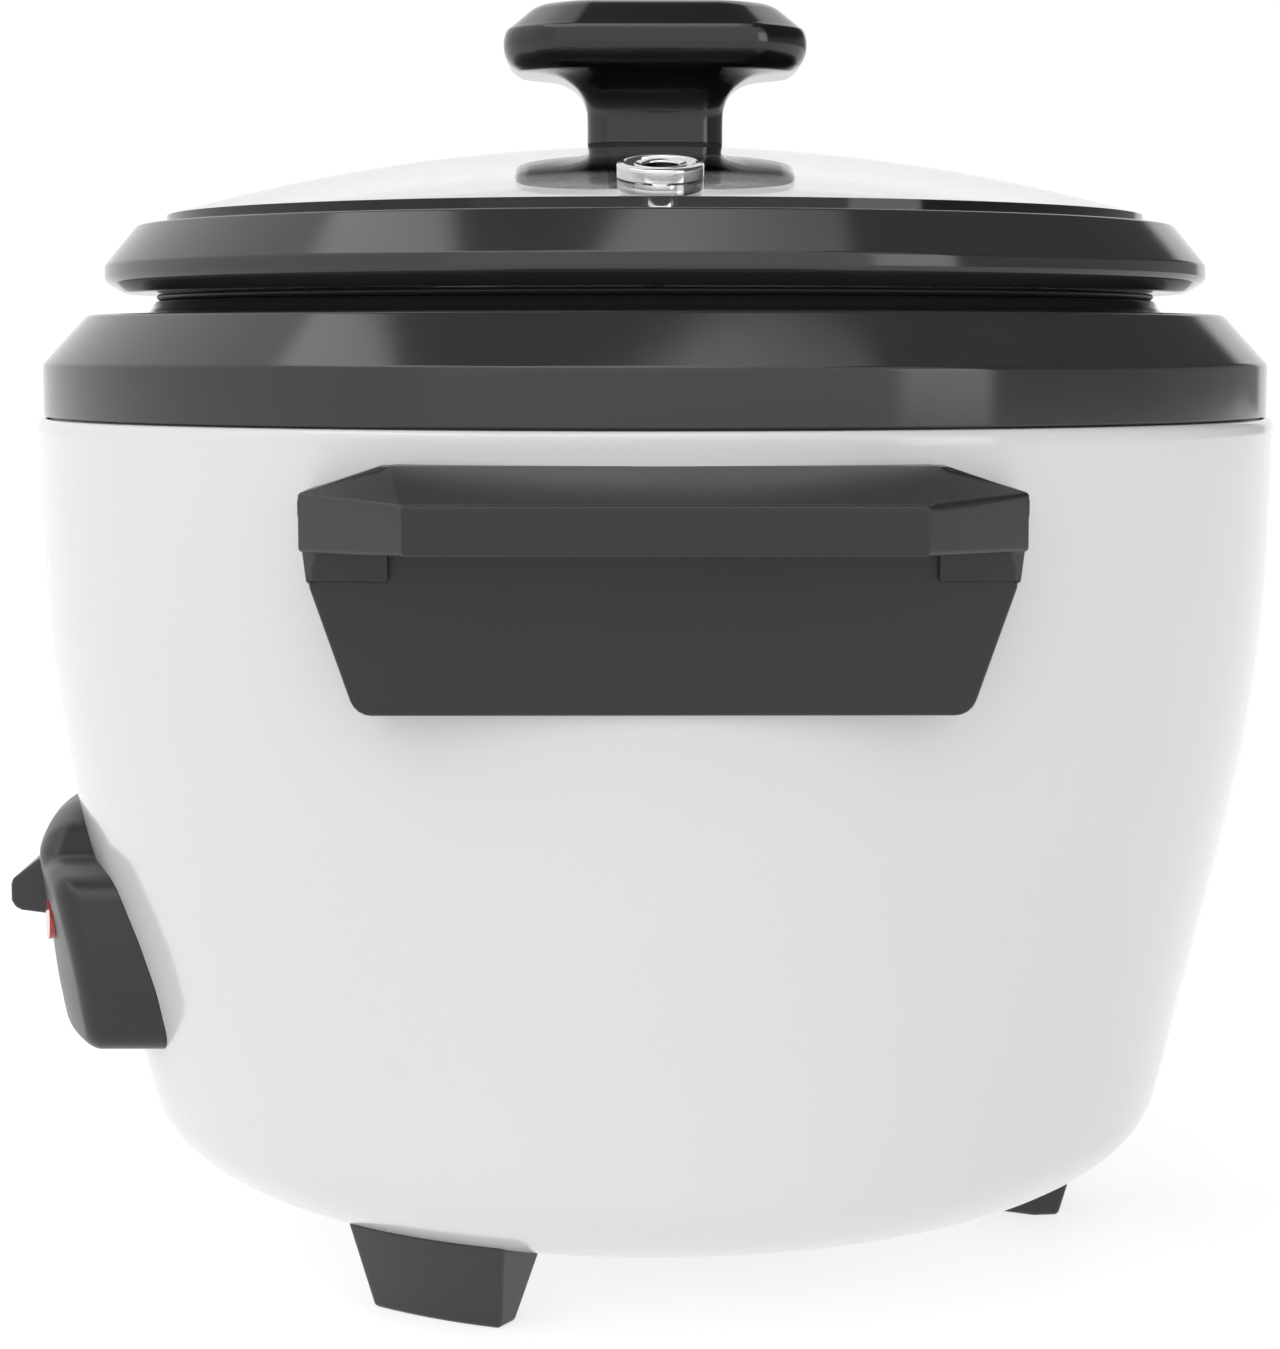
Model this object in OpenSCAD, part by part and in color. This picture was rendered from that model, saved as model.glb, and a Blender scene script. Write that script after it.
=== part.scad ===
/* [Body shell] */
// Radius of the body shell at its top
body_r = 108.6; // [108.2:0.1:109]
// Wall thickness of the drawn steel body shell
shell_t = 1.2; // [1:0.1:1.4]
// Height of the body shell's top edge above the table
seam_z = 146; // [145.8:0.1:146.2]
// Radius of the opening in the bottom of the body shell
bottom_open_r = 50; // [48:1:52]

/* [Collar] */
// Outer radius of the collar's upright band
collar_r = 107.4; // [106.5:0.1:107.8]
// Height of the collar's flat top above the table
collar_top_z = 163.6; // [163:0.2:164]
// Radius of the raised neck that carries the pot
neck_r = 88.2; // [87.8:0.1:89]

/* [Lid] */
// Largest radius of the lid's rim
rim_r = 96.6; // [96:0.2:98]
// Radius of curvature of the glass dome's outside
dome_r = 307; // [300:1:320]
// Height of the top of the glass dome above the table
dome_z = 193; // [192.8:0.1:193.2]
// Thickness of the glass
glass_t = 4; // [3.6:0.1:4]
// Distance of the steam vent from the lid's axis
vent_x = 72; // [50:1:72]

/* [Knob] */
// Length of the knob's cap, front to back
knob_w = 53; // [50:1:58]
// Width of the knob's cap, side to side
knob_d = 40; // [36:1:44]
// Height of the knob's top above the table
knob_z = 217.8; // [216:0.2:219]

/* [Pot] */
// Wall thickness of the aluminium pot
pot_t = 1.5; // [1.2:0.1:2]
// Outer radius of the pot's wall at its mouth
pot_r = 84.3; // [83.8:0.1:84.5]

/* [Heating plate] */
// Radius of the cast heating plate
plate_r = 70; // [66:1:72]
// Height of the heating plate's face above the table
plate_z = 60; // [59.6:0.1:60]

/* [Handles] */
// Distance from the cooker's axis to the front of each grip
grip_x = 130; // [126:1:134]
// Half the width of each handle at its widest
handle_half = 53; // [50:1:55]

/* [Switch] */
// Half the width of the switch housing
housing_half = 47; // [45:0.5:48]
// Half the width of the lever's finger piece
lever_half = 15; // [12:1:17]
// Angle the lever turns through from warm to cook, for checking
lever_travel = 5.6; // [4:0.1:5.6]

/* [Feet] */
// Radius of the circle that the feet's outer faces touch
foot_r = 74; // [72:0.5:75]
// Width of a foot where it stands
foot_w = 25; // [22:0.5:27]

/* [Hidden] */
$fn = 96;

charcoal = [0.19, 0.19, 0.195];
steel = [0.72, 0.73, 0.74];

// ---- outline of the body shell, from the top edge down to the flat bottom ----
body_ctrl = [[body_r - 0.3, seam_z], [body_r, 143.4], [body_r - 0.3, 129], [body_r - 0.9, 115], [body_r - 2.3, 101], [body_r - 4.5, 86.5],
  [body_r - 7.6, 72], [body_r - 11, 57.5], [body_r - 14.5, 43], [body_r - 17.8, 29], [body_r - 20.1, 23],
  [body_r - 24.4, 18.4], [body_r - 30.4, 14.8], [body_r - 37, 12.6], [body_r - 44, 12]];
// height by which the top's parts stand above their own datum
up = 4;
function cr(a, b, c, d, t) = 0.5 * ((2 * b) + (c - a) * t + (2 * a - 5 * b + 4 * c - d) * t * t + (3 * b - a - 3 * c + d) * t * t * t);
function smooth(p, n) = let (m = len(p) - 1) concat([for (i = [0:m - 1], k = [0:n - 1]) cr(p[max(i - 1, 0)], p[i], p[i + 1], p[min(i + 2, m)], k / n)], [p[m]]);
function unit(v) = v / norm(v);
function side(p, i) = let (m = len(p) - 1, t = unit(p[min(i + 1, m)] - p[max(i - 1, 0)])) [t[1], -t[0]];
function inset(p, d) = [for (i = [0:len(p) - 1]) p[i] + side(p, i) * d];
function rev(p) = [for (i = [len(p) - 1:-1:0]) p[i]];
outer = smooth(body_ctrl, 3);
inner = inset(outer, shell_t);
function r_at(z) = lookup(z, rev([for (p = outer) [p[1], p[0]]]));

module body_solid(extra = 0) {
  rotate_extrude() polygon(concat([[0, seam_z + 40], [body_r - 0.3 + extra, seam_z + 40]], [for (p = outer) [p[0] + extra, p[1]]], [[0, 12]]));
}
// a cylinder that stands at radius r and angle a
module at(r, a) { rotate([0, 0, a]) translate([r, 0, 0]) children(); }
module tube(ro, ri, z0, z1) { translate([0, 0, z0]) difference() { cylinder(r = ro, h = z1 - z0); translate([0, 0, -1]) cylinder(r = ri, h = z1 - z0 + 2); } }
module rod(r, z0, z1) { translate([0, 0, z0]) cylinder(r = r, h = z1 - z0); }
module box(a, b) { translate(a) cube([b[0] - a[0], b[1] - a[1], b[2] - a[2]]); }

foot_az = [97, -30, 210];
stand_az = [60, 180, 300];
spacer_az = [30, 150, 270];
liner_az = [0, 120, 240];

// ---- body shell ----
module body_shell() {
  color("white") difference() {
    rotate_extrude() polygon(concat([for (p = outer) p], [[bottom_open_r, 12], [bottom_open_r, 12 + shell_t]], rev([for (p = inner) [p[0], min(max(p[1], 12 + shell_t), seam_z)]])));
    box([-21, -112, 46.5], [21, -80, 72.5]);
    for (s = [-1, 1]) for (t = [-1, 1]) translate([s * 80, t * 38, 116]) rotate([0, s * 90, 0]) cylinder(r = 2.2, h = 40);
    for (s = [-1, 1]) translate([s * 33, -78, 49]) rotate([90, 0, 0]) cylinder(r = 1.8, h = 30);
    for (s = [-1, 1]) lamp_axis(s) translate([0, 0, -14]) cylinder(r = 3.2, h = 20);
    box([-17.1, 60, 19.9], [17.1, 110, 40.1]);
    for (a = foot_az) at(66, a) rod(2.2, 5, 30);
  }
}

// ---- collar ----
module top_collar() {
  t = collar_top_z - up;
  c = [[84.9, 150], [84.9, 161.6], [85.3, 162], [87.7, 162], [neck_r, 161.5], [88.5, 160.9], [89.1, 160.2], [90.2, t + 0.2], [91.6, t],
    [98.6, t], [99.8, 159.2], [100.7, 158.4], [106.4, 152.1], [107.1, 151.1], [collar_r, 150.1], [collar_r, 143.2], [collar_r - 0.5, 142.1], [106.4, 142.1],
    [106.4, 136], [104.4, 136], [104.4, 149.8], [98.4, 156.6], [90.6, 156.6], [88.4, 155.4], [87.4, 153], [87.4, 150]];
  color(charcoal) translate([0, 0, up]) union() {
    rotate_extrude() polygon(c);
    for (a = liner_az) at(91.5, a) difference() { rod(3, 149.9, 157); rod(1.6, 149, 155); }
  }
}

// ---- bottom ----
module base_plate() {
  color([0.6, 0.61, 0.62]) difference() {
    rod(56, 10.6, 11.9);
    for (a = stand_az) at(44, a) rod(2.1, 9, 13);
    for (a = [0:30:330]) rotate([0, 0, a]) box([20, -1.6, 9], [34, 1.6, 13]);
  }
}
module foot(a) {
  h = foot_w / 2;
  color(charcoal) rotate([0, 0, a]) difference() {
    intersection() {
      hull() {
        box([foot_r - 11.5, -h, 0.6], [foot_r + 1, h, 0.7]);
        box([foot_r - 11, -h + 0.6, 0], [foot_r + 1, h - 0.6, 0.1]);
        box([foot_r - 14, -h - 3.4, 18.6], [foot_r + 6, h + 3.4, 18.7]);
      }
      rotate_extrude() polygon([[50, 0], [foot_r - 0.6, 0], [foot_r, 0.6], [foot_r + 4.4, 18.7], [50, 18.7]]);
    }
    body_solid();
    translate([66, 0, 0]) rod(2.1, -1, 30);
    translate([66, 0, 0]) rod(3.6, -1, 7);
  }
}
module foot_screws() {
  color(steel) for (a = foot_az) at(66, a) union() { rod(1.9, 7.05, 18); difference() { rod(3.3, 5, 7); rod(1.2, 4, 6); } }
}
module base_screws() {
  color(steel) for (a = stand_az) at(44, a) union() { rod(1.95, 10.5, 19); difference() { rod(3.6, 8.6, 10.55); rod(1.3, 8, 9.6); } }
}
module standoffs() {
  color(steel) for (a = stand_az) at(44, a) difference() { rod(4.2, 11.95, 43.9); rod(2.05, 11, 20); rod(2.05, 36, 45); }
}
module standoff_screws() {
  color(steel) for (a = stand_az) at(44, a) union() { rod(1.95, 37, 45.4); difference() { rod(3.4, 45.3, 47.2); rod(1.2, 46.2, 48); } }
}

// ---- handles ----
module handle() {
  w = handle_half; g = grip_x;
  color(charcoal) translate([0, 0, up]) difference() {
    union() {
      // back plate
      hull() {
        box([90, -w + 9.4, 100.6], [108.6, w - 9.4, 101]);
        box([90, -w + 7.2, 101.4], [109, w - 7.2, 101.8]);
        box([90, -w + 6, 103.6], [109.2, w - 6, 104]);
        box([90, -w + 1.6, 119], [109.9, w - 1.6, 120]);
        box([90, -w, 132], [110.2, w, 133.2]);
        box([90, -43.6, 136.2], [109.1, 43.6, 137]);
      }
      // hood over the fingers, with chamfered ears
      hull() {
        box([100, -40, 136.4], [109.2, 40, 137]);
        box([100, -w, 125], [109.8, w, 133.2]);
        box([113, -w + 3.6, 125], [114, w - 3.6, 132.8]);
        box([g - 1.2, -36.6, 125.7], [g, 36.6, 131.8]);
        box([g - 2.4, -37.6, 125.2], [g - 0.6, 37.6, 132.8]);
      }
      // cheeks under the hood's ends
      for (s = [0, 1]) mirror([0, s, 0]) hull() {
        box([104, 39.6, 120.2], [111.6, 51.6, 121]);
        box([104, 39.6, 125], [112.6, 52.4, 126]);
      }
    }
    // finger space behind the grip, open below
    hull() {
      box([111.2, -38.4, 119], [125.8, 38.4, 120]);
      box([112.2, -37, 130.4], [124.6, 37, 131]);
    }
    translate([0, 0, -up]) body_solid();
    for (t = [-1, 1]) translate([80, t * 38, 112]) rotate([0, 90, 0]) cylinder(r = 2.05, h = 25.6);
  }
}
module handle_screws() {
  color(steel) for (s = [0, 180]) for (t = [-1, 1]) rotate([0, 0, s]) translate([0, t * 38, 112 + up]) rotate([0, 90, 0]) union() {
    rod(1.95, 96, 104.6);
    difference() { rod(3.6, 94.4, 96.6); rod(1.3, 93, 95.4); }
  }
}

// ---- switch housing on the front ----
// right half of the housing's front outline, from the middle of its lower edge to the middle of its arched top
housing_pts = [[0, 40], [housing_half - 8, 40], [housing_half - 4.4, 40.9], [housing_half - 2, 43.2], [housing_half - 0.8, 46.6], [housing_half, 52],
  [housing_half - 1.2, 58.4], [housing_half - 3.6, 64], [housing_half - 6, 67], [housing_half - 9.6, 69.2], [housing_half - 15, 70.1],
  [28.6, 70.6], [25.4, 72], [22.8, 74], [19.4, 76.2], [14.6, 78], [8, 79.2], [0, 79.6]];
module housing_face(d) {
  q = inset(housing_pts, -d); m = len(q) - 1;
  polygon(concat(q, [for (i = [m - 1:-1:1]) [-q[i][0], q[i][1]]]));
}
module housing_round(d) {
  rotate_extrude() polygon([[70, 39], [104.15 - d, 39], [105.5 - d, 42], [106.2 - d, 45.5], [106.9 - d, 49.5], [107.6 - d, 55], [108.3 - d, 60], [109 - d, 65], [109.5 - d, 68.5],
    [109.6 - d, 70.3], [109.2 - d, 71.8], [108.2 - d, 73.9], [106.9 - d, 75.8], [105 - d, 77.6], [102.6 - d, 79.4], [100 - d, 80.6], [70, 80.6]]);
}
module lamp_axis(s) { rotate([0, 0, s * 15.5]) translate([0, -102, 60]) rotate([90, 0, 0]) children(); }
module switch_housing() {
  color(charcoal) difference() {
    intersection() {
      housing_round(0);
      translate([0, -60, 0]) rotate([90, 0, 0]) linear_extrude(60) housing_face(0);
    }
    difference() {
      intersection() {
        housing_round(2.4);
        translate([0, -60, 0]) rotate([90, 0, 0]) linear_extrude(60) housing_face(2.4);
      }
      for (s = [-1, 1]) translate([s * 33, -60, 49]) rotate([90, 0, 0]) cylinder(r = 3.6, h = 60);
    }
    body_solid();
    box([-lever_half - 0.8, -125, 50.2], [lever_half + 0.8, -90, 68.8]);
    for (s = [-1, 1]) lamp_axis(s) cylinder(r = 3.55, h = 20);
    for (s = [-1, 1]) translate([s * 33, -86, 49]) rotate([90, 0, 0]) cylinder(r = 1.45, h = 13.2);
  }
}
module housing_screws() {
  color(steel) for (s = [-1, 1]) translate([s * 33, 0, 49]) rotate([90, 0, 0]) union() { rod(1.4, 86, 98.8); difference() { rod(2.6, 84.2, 86.2); rod(1, 83, 85.2); } }
}
module lamp_lens(s, c) {
  color(c) lamp_axis(s) union() { translate([0, 0, 2]) cylinder(r = 3.45, h = 4.9); difference() { translate([0, 0, 0]) cylinder(r = 4.6, h = 2.6); translate([0, 0, -1]) cylinder(r = 3, h = 2.4); } }
}
module lamp_lens_cook() { lamp_lens(1, "orangered"); }
module lamp_lens_warm() { lamp_lens(-1, "gold"); }
module indicator_lamps() {
  color([0.95, 0.75, 0.6]) for (s = [-1, 1]) lamp_axis(s) union() { translate([0, 0, -7]) cylinder(r = 2.2, h = 4.4); translate([0, 0, -2.6]) sphere(r = 2.2); }
}

// ---- liner around the pot ----
module inner_liner() {
  t = 148.8 + up;
  o = [[86.4, t], [86.2, 124], [85.8, 92], [85.4, 70], [84.8, 62], [83.2, 55.5], [80.4, 50.2], [76.6, 46.6], [72.4, 44.6], [68, 44]];
  color(steel) difference() {
    rotate_extrude() polygon(concat([[96, t]], o, [[17.6, 44], [17.6, 45.2], [68, 45.2], [72, 45.8], [75.9, 47.6], [79.5, 51], [82.2, 56], [83.7, 62], [84.3, 70], [84.7, 92], [85.1, 124], [85.3, t + 1], [96, t + 1]]));
    for (a = liner_az) at(91.5, a) rod(1.9, t - 2, t + 2);
    for (a = stand_az) at(44, a) rod(2.1, 43, 47);
    for (a = spacer_az) at(60, a) rod(2.1, 43, 47);
    for (t = [-1, 1]) at(element_r, t * element_az) rod(4.4, 43, 47);
  }
}
module liner_screws() {
  color(steel) translate([0, 0, up]) for (a = liner_az) at(91.5, a) union() { rod(1.5, 148.6, 154.6); difference() { rod(3, 146.8, 148.7); rod(1, 146, 147.8); } }
}

// ---- heating plate ----
element_r = 47.85;
element_az = 13;
module heating_plate() {
  color([0.66, 0.66, 0.67]) difference() {
    rotate_extrude() polygon([[17.2, 54.5], [17.2, plate_z - 0.6], [17.8, plate_z], [plate_r - 2, plate_z], [plate_r, plate_z - 1.6], [plate_r, 53], [plate_r - 1.5, 50.15], [55, 50.15], [53.4, 48.4], [42, 48.4], [39, 52], [21, 52]]);
    rotate_extrude() translate([element_r, 52.4]) circle(r = 3.35, $fn = 48);
    tube(element_r + 3, element_r - 3, 46, 52);
    for (a = spacer_az) at(60, a) rod(2.05, 48, 56.4);
    for (a = stand_az) at(44, a) rod(4.2, 46, 49);
    for (r = [26:5:61]) tube(r + 0.5, r - 0.5, plate_z - 0.35, plate_z + 1);
  }
}
module heating_element() {
  color([0.5, 0.47, 0.45]) union() {
    rotate([0, 0, 8]) rotate_extrude(angle = 344) translate([element_r, 52.4]) circle(r = 3.3, $fn = 48);
    for (t = [-1, 1]) at(element_r, t * element_az) rod(2.7, 34, 52.4);
  }
}
module plate_spacers() { color(steel) for (a = spacer_az) at(60, a) tube(4.2, 2.1, 45.25, 50.1); }
module plate_screws() { color(steel) for (a = spacer_az) at(60, a) union() { rod(1.95, 43.8, 56); difference() { rod(3.6, 41.8, 43.9); rod(1.3, 41, 42.8); } } }

// ---- temperature sensor under the pot ----
module sensor_guide() {
  color(steel) difference() {
    union() { rod(19.2, 38.5, 43); rod(22.5, 42.8, 43.95); }
    rod(18.2, 39.7, 46);
    rod(3, 30, 42);
  }
}
module sensor_cap() {
  color([0.8, 0.8, 0.81]) rotate_extrude() polygon([[13.6, 46.8], [16.4, 46.8], [16.4, 47.6], [14.5, 47.6], [14.5, 59], [13.6, 59.9], [0, 59.9], [0, 59.1], [13.6, 59.1]]);
}
module sensor_ferrite() { color([0.2, 0.2, 0.21]) rod(9.2, 56, 59.05); }
module magnet_rod() {
  color([0.35, 0.35, 0.37]) union() { rod(9, 44.9, 50.3); rod(12.4, 43.8, 45); rod(2, 26.5, 44.5); rod(5.5, 27.5, 28.7); rod(4.2, 32.4, 33.6); }
}
function helix(r, z0, z1, turns, n) = [for (i = [0:turns * n]) let (a = 360 * i / n) [r * cos(a), r * sin(a), z0 + (z1 - z0) * i / (turns * n)]];
module sweep(p, r, s = 8) {
  m = len(p);
  function tan(i) = unit(p[min(i + 1, m - 1)] - p[max(i - 1, 0)]);
  function nrm(i) = let (t = tan(i), u = abs(t[2]) > 0.9 ? [1, 0, 0] : [0, 0, 1]) unit(cross(t, cross(u, t)));
  pts = [for (i = [0:m - 1]) let (t = tan(i), a = nrm(i), b = cross(t, a)) for (k = [0:s - 1]) p[i] + r * (cos(360 * k / s) * a + sin(360 * k / s) * b)];
  faces = concat([[for (k = [0:s - 1]) s - 1 - k]], [for (i = [0:m - 2], k = [0:s - 1]) each [[i * s + k, i * s + (k + 1) % s, (i + 1) * s + (k + 1) % s], [i * s + k, (i + 1) * s + (k + 1) % s, (i + 1) * s + k]]], [[for (k = [0:s - 1]) (m - 1) * s + k]]);
  polyhedron(pts, [for (f = faces) rev(f)]);
}
module sensor_spring() { color(steel) sweep(helix(15.9, 40.5, 45.9, 3, 18), 0.6, 6); }
module release_spring() { color(steel) sweep(helix(10.8, 45.5, 58.6, 4, 14), 0.4, 6); }

// ---- lever ----
module lever_bracket() {
  color(steel) union() {
    box([-14, -54, 42.8], [14, -38, 43.95]);
    for (s = [-1, 1]) difference() {
      box([s > 0 ? 6.2 : -7.7, -52, 30.4], [s > 0 ? 7.7 : -6.2, -40, 43.2]);
      translate([s * 7, -46, 34]) rotate([0, 90, 0]) translate([0, 0, -3]) cylinder(r = 1.55, h = 6);
    }
  }
}
module lever_pivot_pin() {
  color(steel) translate([0, -46, 34]) rotate([0, 90, 0]) union() { rod(1.5, -8, 8.6); rod(2.6, 8, 9.4); }
}
module lever_arm() {
  color(steel) difference() {
    union() {
      box([-8, -7, 30.2], [8, 6.5, 31.8]);
      box([-4.2, -76, 30.2], [4.2, -6, 31.8]);
      box([-16, -30, 30.2], [-3, -26, 31.8]);
      for (s = [-1, 1]) box([s > 0 ? 2.7 : -4.2, -51, 31], [s > 0 ? 4.2 : -2.7, -41, 37.6]);
      translate([-4.2, 0, 0]) rotate([90, 0, 90]) linear_extrude(8.4) polygon([[-75.4, 30.2], [-88.9, 45], [-88.9, 64], [-87.3, 64], [-87.3, 45.6], [-74.7, 31.8]]);
      box([-4.2, -99, 57.9], [4.2, -88, 59.5]);
    }
    box([-2.7, -4, 29], [2.7, 8, 33]);
    translate([-6, -46, 34]) rotate([0, 90, 0]) cylinder(r = 1.62, h = 12);
  }
}
module lever_knob() {
  color(charcoal) difference() {
    union() {
      // finger piece
      translate([-lever_half, 0, 2.5]) rotate([90, 0, 90]) linear_extrude(2 * lever_half)
        polygon([[-101, 64.5], [-107.6, 65.8], [-109.2, 65.6], [-113.6, 62.1], [-114, 61.2], [-114, 58.2], [-113.4, 57], [-112.2, 56.4], [-107.3, 55.8], [-101, 55.8]]);
      // curved shield that hides the slot
      intersection() {
        box([-19, -106, 50.8], [19, -90, 70.8]);
        rotate_extrude() polygon([[98.7, 50], [100.5, 50], [102.8, 71], [101, 71]]);
      }
      box([-6.5, -100.4, 55.6], [6.5, -94, 62]);
    }
    box([-4.3, -99.2, 57.8], [4.3, -90, 59.6]);
  }
}

// ---- electrics ----
module contact_block() { color([0.45, 0.22, 0.12]) union() { box([-34, -44, 36], [-18, -16, 43.95]); box([-37, -33, 41], [-15, -25, 43.95]); } }
module contact_leaves() {
  color([0.85, 0.68, 0.3]) union() {
    box([-33, -40, 34.9], [-19, -36.5, 35.95]); box([-19.5, -40, 34.9], [-12, -36.5, 35.4]); box([-12.5, -40, 34.9], [-10, -27, 35.4]);
    box([-33, -21, 34.9], [-12, -17.5, 35.95]); box([-33, -30, 33.6], [-22, -26, 35.95]);
  }
}
module thermal_fuse() { color([0.86, 0.84, 0.76]) translate([34, 14, 39.5]) rotate([0, 0, 35]) rotate([90, 0, 0]) union() { cylinder(r = 2.4, h = 20, center = true); cylinder(r = 1, h = 28, center = true); } }
module warm_resistor() { color([0.9, 0.9, 0.88]) translate([-34, 28, 39]) rotate([0, 0, 40]) rotate([90, 0, 0]) union() { cylinder(r = 3.4, h = 24, center = true); cylinder(r = 0.9, h = 34, center = true); } }
module power_inlet() {
  color([0.12, 0.12, 0.12]) difference() {
    union() {
      intersection() { box([-17, 62, 20], [17, 100, 40]); body_solid(); }
      box([-21, 78, 22], [21, 81, 42]);
    }
    box([-13, 66, 22.4], [13, 110, 37.6]);
    for (s = [-1, 1]) translate([s * 7.5, 50, 30]) rotate([-90, 0, 0]) cylinder(r = 2.05, h = 25);
  }
}
module inlet_pins() { color([0.85, 0.68, 0.3]) for (s = [-1, 1]) translate([s * 7.5, 56, 30]) rotate([-90, 0, 0]) union() { cylinder(r = 2, h = 22); translate([0, 0, 22]) sphere(r = 2); } }
module live_wire() { color("brown") sweep(smooth([[7.5, 55.8, 30], [8, 50, 29.5], [11, 40, 30], [15, 32, 33], [20, 31, 37.5], [23.9, 28.6, 39.2], [25.6, 26.1, 39.5]], 8), 1.1); }
module neutral_wire() { color("steelblue") sweep(smooth([[-7.5, 55.8, 30], [-8, 50, 27], [-18, 36, 24], [-30, 8, 24], [-31, -16, 25], [-28, -25, 27.5], [-26.4, -27.8, 30.5], [-26.2, -28, 33.4]], 8), 1.1); }
module heater_wire() { color("firebrick") sweep(smooth([[42.4, 2, 39.5], [44.6, -1, 38.4], [49, -4, 33], [49, -8.6, 29.6], [46.8, -10.6, 31.2], [46.6, -10.8, 33.85]], 8), 1); }
module lamp_wires() {
  color("dimgray") for (s = [-1, 1]) sweep(smooth([[s * 25.2, -91.2, 60], [s * 23, -88.4, 58], [s * 20, -86, 50], [s * 17, -78, 38], [s * 15, -66, 30], [s * 14, -50, 26], [s * 15, -30, 24]], 6), 0.8);
}

// ---- pot ----
module inner_pot() {
  rb = 66; zc = 76.6; k = 16.4;
  color([0.3, 0.3, 0.31]) rotate_extrude() polygon(concat(
    [[0, 60.1], [rb, 60.1]], [for (i = [1:8]) let (a = 90 * i / 9) [rb + k * sin(a), zc - (zc - 60.1) * cos(a)]], [[82.6, 78], [pot_r - 0.3, 132], [pot_r, 161.2 + up], [84.6, 162.1 + up], [87.4, 162.1 + up], [87.9, 162.6 + up], [87.6, 163.2 + up], [84.6, 163.2 + up], [pot_r - pot_t + 0.4, 162.6 + up],
      [pot_r - pot_t, 161 + up], [pot_r - pot_t - 0.3, 132], [82.6 - pot_t, 78.4]], [for (i = [8:-1:1]) let (a = 90 * i / 9) [rb + (k - pot_t) * sin(a), zc - (zc - 60.1 - pot_t) * cos(a)]], [[rb, 60.1 + pot_t], [0, 60.1 + pot_t]]));
}

// ---- lid ----
module lid_rim() {
  color(charcoal) translate([0, 0, up]) rotate_extrude() polygon([[80.8, 164.4], [81.6, 163.6], [92.6, 163.35], [94.2, 163.5], [95.4, 164.2], [96.3, 165.3], [rim_r, 166.5], [rim_r - 0.1, 167.4], [96.2, 168.4], [91.3, 174.3], [90.6, 174.9], [89.6, 175.1], [87, 175.1], [86.2, 174.7], [86.2, 172.4], [85, 172.4], [81, 173.6]]);
}
function dome(r, R) = dome_z - dome_r + sqrt(R * R - r * r);
module dome_at(x) { translate([0, 0, dome_z - dome_r]) rotate([0, asin(x / dome_r), 0]) children(); }
module lid_glass() {
  color([0.85, 0.9, 0.9, 0.35]) difference() {
    intersection() {
      translate([0, 0, dome_z - dome_r]) sphere(r = dome_r, $fn = 200);
      rod(85.9, 160, 205);
    }
    translate([0, 0, dome_z - dome_r]) sphere(r = dome_r - glass_t, $fn = 200);
    rod(3, 170, 205);
    dome_at(vent_x) rod(4.05, dome_r - 12, dome_r + 5);
  }
}
module steam_vent() {
  color(steel) dome_at(vent_x) difference() {
    union() { rod(4, dome_r - glass_t - 1.4, dome_r + 1.6); rod(6.8, dome_r + 0.03, dome_r + 2.4); rod(6.4, dome_r - glass_t - 1.8, dome_r - glass_t - 0.12); }
    rod(3.1, dome_r - 12, dome_r + 5);
  }
}
// rounded eight-sided ring of the knob: half sizes hx by hy, corner c, height z
function ring(hx, hy, c, z) = let (q = [[hx, hy - c], [hx - c, hy]], e = 0.22,
  k = [[hx, hy - c * (1 + e)], [hx - c * 0.06, hy - c * (1 - e * 0.6)], [hx - c * (1 - e * 0.6), hy - c * 0.06], [hx - c * (1 + e), hy]])
  concat([for (p = k) [p[0], p[1], z]], [for (p = rev(k)) [-p[0], p[1], z]], [for (p = k) [-p[0], -p[1], z]], [for (p = rev(k)) [p[0], -p[1], z]]);
module loft(rings) {
  m = len(rings); s = len(rings[0]);
  faces = concat([[for (k = [0:s - 1]) s - 1 - k]], [for (i = [0:m - 2], k = [0:s - 1]) each [[i * s + k, i * s + (k + 1) % s, (i + 1) * s + (k + 1) % s], [i * s + k, (i + 1) * s + (k + 1) % s, (i + 1) * s + k]]], [[for (k = [0:s - 1]) (m - 1) * s + k]]);
  polyhedron([for (r = rings) each r], [for (f = faces) rev(f)], convexity = 4);
}
module lid_knob() {
  w = knob_w / 2; d = knob_d / 2; t = knob_z;
  // half sizes in from the cap's edge, corner and height, from the stem's foot up
  rings = [ring(9.2, 11.9, 3.2, 193.6), ring(9.2, 11.9, 3.2, 197.4), ring(9.5, 12.1, 3.3, 199.8), ring(10.5, 13.1, 3.6, 202.2), ring(12.3, 15, 4.2, 204), ring(14.8, 17.8, 5, 205.2),
    ring(d - 2.6, w - 2.8, 7.2, 206), ring(d - 1.1, w - 1.2, 7.8, 207), ring(d - 0.3, w - 0.3, 8.1, 208.6), ring(d, w, 8.2, 210.4), ring(d - 0.2, w - 0.2, 8.1, 212), ring(d - 0.9, w - 0.9, 7.9, 213.2),
    ring(d - 5.2, w - 4.9, 6.8, t - 1.1), ring(d - 6.1, w - 5.8, 6.4, t - 0.4), ring(d - 7.4, w - 7, 6, t)];
  color(charcoal) difference() { loft(rings); rod(2.05, 192, 205); }
}
module knob_gasket() { color([0.1, 0.1, 0.1]) tube(8.8, 2.6, 193.02, 193.58); }
module knob_washer() { color(steel) tube(8.4, 2.2, 187.8, 188.84); }
module knob_screw() { color(steel) union() { rod(1.98, 186, 204.6); difference() { rod(4.6, 185.2, 187.75); rod(1.5, 184, 186.4); } } }

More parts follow.
